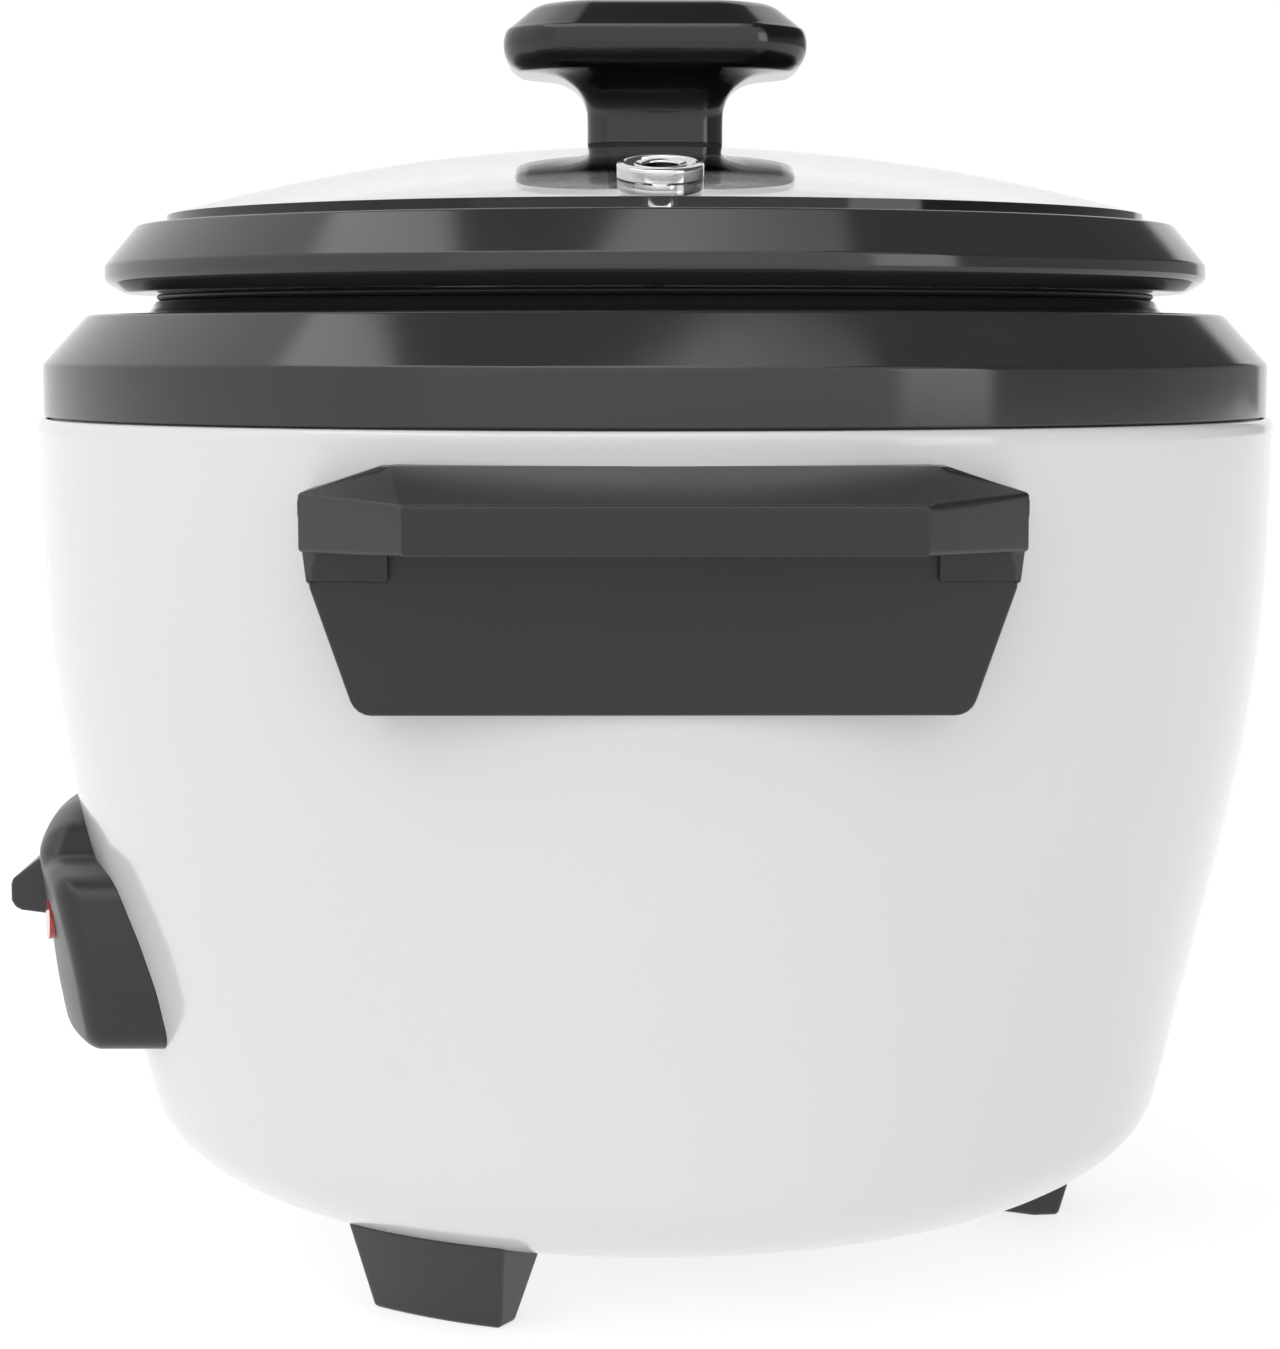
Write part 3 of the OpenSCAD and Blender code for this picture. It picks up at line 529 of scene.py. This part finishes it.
# ------------------------------------------------------------------ pot
ring_pts = [(82.6, 78), (84.0, 132), (84.3, 165.2)]
k, zc, rb, pt = 16.4, 76.6, 66.0, 1.5
low_o = [(rb + k * math.sin(a), zc - (zc - 60.1) * math.cos(a)) for a in [math.radians(90 * i / 14) for i in range(15)]]
low_i = [(rb + (k - pt) * math.sin(a), zc - (zc - 60.1 - pt) * math.cos(a)) for a in [math.radians(90 * i / 14) for i in range(15)]]
lip = fillet([(84.3, 166.1, 0.4), (87.3, 166.1, 0.4), (87.9, 166.65, 0.4), (87.5, 167.2, 0.3), (84.2, 167.2, 1.0)], 5)
pot_prof = [(0, 60.1)] + low_o + [(82.6, 80), (83.4, 105), (84.0, 132), (84.25, 155)] + lip + [(82.8, 165), (82.7, 155), (82.5, 132), (81.9, 105), (81.1, 80)] + low_i[::-1] + [(0, 61.6)]
pot = revolve("pot", pot_prof, 256)
stand_in(pot, "inner_pot", "pot", M["pot"])


# ------------------------------------------------------------------ handles
def arc(cy, cz, r, a0, a1, n=4):
    return [(cy + r * math.cos(math.radians(a0 + (a1 - a0) * i / n)), cz + r * math.sin(math.radians(a0 + (a1 - a0) * i / n))) for i in range(n + 1)]


def face_x(z):
    return 109.0 + (z - 106) * 0.036


def handle_mesh(name):
    r = 0.7
    plate = []
    for s in (-1, 1):
        for y, z in arc(42.6, 107.9, 2.6, -90, -20) + [(50.7, 123.5), (52.3, 134.0)] + arc(51.5, 135.9, 0.8, 0, 60, 2):
            plate += [(face_x(z) - r, s * y, z), (92, s * y, z)]
        plate += [(108.3, s * 41.2, 140.2), (92, s * 41.2, 140.2)]
    parts = [rounded("plate", plate, r)]
    hood = []
    for s in (-1, 1):
        hood += [(96, s * 39.4, 140.3), (108.4, s * 39.4, 140.3), (109.4, s * 52.2, 136.6), (112.9, s * 48.9, 136.1), (96, s * 52.2, 136.6), (128.0, s * 37.0, 135.9), (129.3, s * 36.1, 134.9),
                 (96, s * 52.2, 135.2), (109.4, s * 52.2, 135.2), (112.9, s * 48.9, 135.2), (129.3, s * 36.1, 135.2)]
    parts.append(rounded("hood", hood, r))
    front = []
    for s in (-1, 1):
        for x in (126.6, 129.3):
            front += [(x, s * (36.1 if x > 128 else 34.6), 129.9), (x - (0.9 if x < 128 else 0), s * (36.1 if x > 128 else 34.6), 135.8)]
    parts.append(rounded("front", front, r))
    for s in (-1, 1):
        ear = [(129.3, s * 36.1, 130.0), (126.8, s * 34.9, 130.0), (112.9, s * 48.9, 129.9), (112.2, s * 41.5, 129.9), (109.4, s * 52.2, 129.3), (104, s * 52.2, 129.3), (104, s * 42, 129.3)]
        parts.append(rounded("ear", ear + [(x, y, 135.6) for x, y, z in ear], r))
        gusset = [(112.6, s * 49.1, 131), (109.4, s * 52.15, 131), (104, s * 52.1, 131), (111.4, s * 50.2, 127.2), (110.0, s * 51.3, 124.6), (104, s * 51.2, 124.4), (106, s * 49.5, 131), (106, s * 49.5, 125.2)]
        parts.append(rounded("gusset", gusset, 0.5))
        cheek = [(104, s * 40.3, 124.9), (111.0, s * 40.3, 124.9), (110.8, s * 50.6, 125.1), (104, s * 50.6, 125.1), (104, s * 40.3, 130), (112.0, s * 40.3, 130), (111.8, s * 49.2, 130), (104, s * 51.4, 130)]
        parts.append(rounded("cheek", cheek, 0.6))
    ob = boolean(parts[0], parts[1:], "UNION")
    cuts = [body_solid(256)]
    for t in (-1, 1):
        cuts.append(drum("hc", 2.05, 80, 105.6, Matrix.Translation((0, t * 0.038, 0.116)) @ Matrix.Rotation(math.pi / 2, 4, "Y"), 32))
    boolean(ob, cuts, "DIFFERENCE")
    ob.name = name
    # the front half, mirrored to the rear, so that both ends are the same
    bm = bmesh.new()
    bm.from_mesh(ob.data)
    bmesh.ops.bisect_plane(bm, geom=bm.verts[:] + bm.edges[:] + bm.faces[:], dist=1e-7, plane_co=(0, 0, 0), plane_no=(0, 1, 0), clear_outer=True)
    for v in bm.verts:
        if abs(v.co.y) < 1e-6:
            v.co.y = 0
    dup = bmesh.ops.duplicate(bm, geom=bm.verts[:] + bm.edges[:] + bm.faces[:])["geom"]
    for g in dup:
        if isinstance(g, bmesh.types.BMVert):
            g.co.y = -g.co.y
    bmesh.ops.reverse_faces(bm, faces=[g for g in dup if isinstance(g, bmesh.types.BMFace)])
    bmesh.ops.remove_doubles(bm, verts=bm.verts, dist=2e-6)
    bm.to_mesh(ob.data)
    bm.free()
    return ob


hr = handle_mesh("hr")
hl = hr.copy()
hl.data = hr.data.copy()
hl.data.transform(Matrix.Rotation(math.pi, 4, "Z"))
scene.collection.objects.link(hl)
stand_in(hr, "handle_right", "base", M["handle"])
stand_in(hl, "handle_left", "base", M["handle"])

# ------------------------------------------------------------------ switch housing
HH = 47.0
half = [(0, 40, 0), (HH - 1.9, 40, 4.8), (HH - 0.2, 51, 8), (HH - 1.6, 59, 10), (HH - 6.0, 68.6, 6.5), (HH - 14, 70.0, 8), (27.0, 70.5, 3.4), (21.6, 75.4, 6), (11.5, 79.0, 12), (0, 79.6, 0)]
full = half + [(-p[0], p[1], p[2]) for p in half[-2:0:-1]]
edge = fillet(full, 10)
# even steps along the outline
pts = [Vector(p) for p in edge]
L = [0]
for a, b in zip(pts, pts[1:] + pts[:1]):
    L.append(L[-1] + (b - a).length)
N = 360
ev = []
j = 0
for i in range(N):
    d = L[-1] * i / N
    while L[j + 1] < d:
        j += 1
    a, b = pts[j], pts[(j + 1) % len(pts)]
    ev.append(a.lerp(b, (d - L[j]) / max(L[j + 1] - L[j], 1e-9)))
nrm = []
for i in range(N):
    t = (ev[(i + 2) % N] - ev[i - 2]).normalized()
    nrm.append(Vector((t.y, -t.x)))
FRONT = spline([(103.2, 37), (104.6, 40), (105.5, 42), (106.2, 45.5), (106.9, 49.5), (107.6, 55), (108.3, 60), (109, 65), (109.5, 68.5), (109.6, 70.3), (109.2, 71.8), (108.2, 73.9), (106.9, 75.8), (105, 77.6), (102.6, 79.4), (100, 80.6)], 5)


def front_r(z):
    for a, b in zip(FRONT, FRONT[1:]):
        if a[1] <= z <= b[1]:
            return a[0] + (b[0] - a[0]) * (z - a[1]) / max(b[1] - a[1], 1e-9)
    return FRONT[-1][0]


def front_y(x, z):
    r = front_r(z)
    return -math.sqrt(max(r * r - x * x, 1))


def housing(name, inset, drop, rr, back):
    """Front skin and side wall of the housing, moved in by inset from its outline and by drop from its front, edge radius rr."""
    bm = bmesh.new()
    rows = []
    inner = [ev[i] - nrm[i] * inset for i in range(N)]

    def put(q, y):
        return bm.verts.new(Vector((q.x, y, q.y)) * MM)

    rows.append([put(inner[i], back) for i in range(N)])
    rad = [rr * (0.55 + 0.45 * min(1, max(0, (inner[i].y - 44) / 18))) for i in range(N)]
    for f in (1.9, 1.35):
        rows.append([put(inner[i], front_y(*inner[i]) + drop + rad[i] * f) for i in range(N)])
    for s in range(9):
        a = math.pi / 2 * s / 8
        row = []
        for i in range(N):
            q = inner[i] - nrm[i] * (rad[i] * (1 - math.cos(a)))
            q0 = inner[i] - nrm[i] * rad[i]
            row.append(put(q, front_y(*q) + drop + rad[i] * (1 - math.sin(a))))
        rows.append(row)
    last = [inner[i] - nrm[i] * rad[i] for i in range(N)]
    for f in [0.06, 0.14, 0.24, 0.36, 0.48, 0.6, 0.72, 0.84, 0.93]:
        row = []
        for i in range(N):
            c = Vector((max(-20, min(20, last[i].x)), 56.5))
            q = last[i].lerp(c, f)
            row.append(put(q, front_y(*q) + drop))
        rows.append(row)
    for a, b in zip(rows, rows[1:]):
        for k in range(N):
            q = (k + 1) % N
            bm.faces.new((a[k], a[q], b[q], b[k]))
    bm.faces.new(rows[-1])
    bm.faces.new(rows[0][::-1])
    bmesh.ops.triangulate(bm, faces=[f for f in bm.faces if len(f.verts) > 4])
    return from_bm(name, bm)


hs = housing("hs", 0, 0, 3.6, -70)
hollow = housing("hollow", 2.4, 2.4, 1.6, -66)
boolean(hs, [hollow, body_solid(256)], "DIFFERENCE")
hcuts = [rounded("slot", [(s * 14.8, y, z) for s in (-1, 1) for y in (-126, -88) for z in (51.2, 67.8)], 1.0)]
for s in (-1, 1):
    hcuts.append(drum("lc", 3.55, 0, 20, Matrix.Rotation(math.radians(s * 15.5), 4, "Z") @ Matrix.Translation((0, -0.102, 0.06)) @ Matrix.Rotation(math.pi / 2, 4, "X"), 48))
boolean(hs, hcuts, "DIFFERENCE")
stand_in(hs, "switch_housing", "base", M["housing"])

# ------------------------------------------------------------------ lever's finger piece
lev = []
for s in (-1, 1):
    for y, z in ((-101, 66.2), (-107.6, 67.5), (-108.9, 67.3), (-113.0, 64.1), (-113.2, 63.5), (-113.2, 60.9), (-112.7, 60.1), (-111.9, 59.7), (-107.3, 59.1), (-101, 59.1)):
        lev.append((s * 14.2, y, z))
finger = rounded("finger", lev, 0.8, 24)
shield = revolve("shield", fillet([(98.7, 50.9, 0.3), (100.55, 50.9, 0.3), (102.75, 70.7, 0.3), (100.95, 70.7, 0.3)], 3), 320)
boolean(shield, [block("sb", (-19, -106, 40), (19, -90, 80))], "INTERSECT")
neck = block("neck", (-6.5, -100.4, 55.6), (6.5, -94, 62))
boolean(finger, [shield, neck], "UNION")
boolean(finger, [block("nb", (-4.3, -99.2, 57.8), (4.3, -90, 59.6))], "DIFFERENCE")
stand_in(finger, "lever_knob", "lever", M["lever"])

# ------------------------------------------------------------------ feet
for node, a in (("foot_rear", 97), ("foot_front_right", -30), ("foot_front_left", 210)):
    r = 1.1
    pts3 = []
    for s in (-1, 1):
        for k in range(5):
            y = s * (12.5 - r) * k / 4
            x = math.sqrt((74.3 - r) ** 2 - y * y)
            pts3.append((x, y, r))
            y2 = s * (15.9 - r) * k / 4
            pts3.append((math.sqrt((79.2 - r) ** 2 - y2 * y2), y2, 19.5))
        pts3 += [(63.6, s * 8, r), (68.6, s * 11.4, r), (61.0, s * (15.9 - r), 19.5)]
    foot = rounded("foot", pts3, r, 16)
    foot.data.transform(Matrix.Rotation(math.radians(a), 4, "Z"))
    tr = Matrix.Rotation(math.radians(a), 4, "Z") @ Matrix.Translation((0.066, 0, 0))
    boolean(foot, [body_solid(256), drum("fc", 2.1, -1, 30, tr, 32), drum("fd", 3.6, -1, 7, tr, 48)], "DIFFERENCE")
    stand_in(foot, node, "base", M["foot"])


# ------------------------------------------------------------------ studio: white surroundings with soft boxes and darker gaps, by direction
w = bpy.data.worlds.new("studio")
scene.world = w
w.use_nodes = True
wt = w.node_tree
wt.nodes.clear()


def wmath(op, a, b=None):
    n = wt.nodes.new("ShaderNodeMath")
    n.operation = op
    for i, v in enumerate((a, b)):
        if v is None:
            continue
        if isinstance(v, (int, float)):
            n.inputs[i].default_value = v
        else:
            wt.links.new(v, n.inputs[i])
    return n.outputs[0]


def wstep(v, lo, hi):
    """0 below lo, 1 above hi, smooth between; falling where lo is above hi."""
    n = wt.nodes.new("ShaderNodeMapRange")
    n.interpolation_type = "SMOOTHSTEP"
    a, b, c, d = (lo, hi, 0, 1) if lo < hi else (hi, lo, 1, 0)
    for name, x in (("From Min", a), ("From Max", b), ("To Min", c), ("To Max", d)):
        n.inputs[name].default_value = x
    wt.links.new(v, n.inputs["Value"])
    return n.outputs["Result"]


def wband(v, lo, hi, soft):
    return wmath("MULTIPLY", wstep(v, lo - soft, lo + soft), wstep(v, hi + soft, hi - soft))


def wlerp(fac, a, b):
    n = wt.nodes.new("ShaderNodeMix")
    n.data_type = "FLOAT"
    for i, v in ((0, fac), (2, a), (3, b)):
        if isinstance(v, (int, float)):
            n.inputs[i].default_value = v
        else:
            wt.links.new(v, n.inputs[i])
    return n.outputs[0]


tc = wt.nodes.new("ShaderNodeTexCoord")
sx = wt.nodes.new("ShaderNodeSeparateXYZ")
wt.links.new(tc.outputs["Generated"], sx.inputs[0])
X, Y, Z = sx.outputs
AZ = wmath("MULTIPLY", wmath("ARCTAN2", Y, X), 180 / math.pi)
# walls
level = wlerp(wband(AZ, -42, 43, 1.2), 1.02, 1.25)
level = wlerp(wmath("MULTIPLY", wband(AZ, 61, 150, 2.5), wstep(Z, -0.3, -0.15)), level, wlerp(wstep(Z, 0.12, 0.3), 0.36, 0.1))
level = wlerp(wmath("MULTIPLY", wband(AZ, 43, 61, 1.0), wband(Z, -0.14, 0.42, 0.02)), level, 3.0)
# ceiling: two soft boxes with a dark gap between them, and a grey stretch at the left rear
ceil = wlerp(wmath("MULTIPLY", wstep(X, -0.26, -0.28), wstep(Y, 0.0, -0.1)), 0.14, 1.0)
left_line = wmath("SUBTRACT", Y, wmath("MULTIPLY", X, 0.445))
ceil = wlerp(wmath("MULTIPLY", wstep(left_line, -0.4, -0.42), wstep(X, -0.28, -0.26)), ceil, 2.6)
edge_line = wmath("ADD", X, wmath("MULTIPLY", Y, 0.342))
boxa = wmath("MULTIPLY", wstep(edge_line, 0.11, 0.126), wstep(Y, 0.4, 0.38))
ceil = wlerp(boxa, ceil, wlerp(wstep(Y, -0.05, 0.34), 2.6, 1.3))
level = wlerp(wstep(Z, 0.74, 0.8), level, ceil)
bgn = wt.nodes.new("ShaderNodeBackground")
wt.links.new(level, bgn.inputs["Strength"])
bgn.inputs["Color"].default_value = (1, 1, 1, 1)
wo = wt.nodes.new("ShaderNodeOutputWorld")
wt.links.new(bgn.outputs[0], wo.inputs["Surface"])


def area(name, loc, target, size, power, glossy=False):
    d = bpy.data.lights.new(name, "AREA")
    d.shape = "RECTANGLE"
    d.size, d.size_y = size
    d.energy = power
    o = bpy.data.objects.new(name, d)
    scene.collection.objects.link(o)
    o.location = loc
    o.rotation_euler = (Vector(target) - Vector(loc)).to_track_quat("-Z", "Y").to_euler()
    o.visible_glossy = glossy
    o.visible_transmission = False
    o.visible_camera = False
    return o


area("fill_left", (1.1, -1.2, 0.7), (0, 0, 0.1), (1.0, 1.0), 1.5)

bpy.ops.mesh.primitive_plane_add(size=12, location=(0, 0, 0))
floor = bpy.context.object
floor.name = "studio_floor"
fm = Mat("pale_floor")
fm.link(fm.ramp(fm.noise(3, 3, 0.5), [(0.3, (0.34, 0.34, 0.34)), (0.7, (0.36, 0.36, 0.36))]), fm.b.inputs["Base Color"])
fm.link(fm.span(fm.noise(40, 3, 0.5), 0.6, 0.75), fm.b.inputs["Roughness"])
fm.set(Emission_Color=(1, 1, 1, 1), Emission_Strength=0.74, Specular_IOR_Level=0.2)
floor.data.materials.append(fm.m)

scene.view_settings.view_transform = "Standard"
scene.view_settings.look = "None"

# ------------------------------------------------------------------ camera
D, H, PITCH, F_PX = 0.5616, 0.1583, math.radians(6.0), 3126.0
SIDE = math.radians(0.7)
cam = bpy.data.cameras.new("cam")
cam.sensor_width = 36.0
cam.lens = F_PX / 1349 * 36.0
cam.clip_start = 0.01
co = bpy.data.objects.new("cam", cam)
scene.collection.objects.link(co)
co.location = (D * math.cos(SIDE), -D * math.sin(SIDE), H)
yaw = math.pi / 2 - SIDE + 14.5 / F_PX
co.rotation_euler = (math.pi / 2 - PITCH, 0, yaw)
scene.camera = co

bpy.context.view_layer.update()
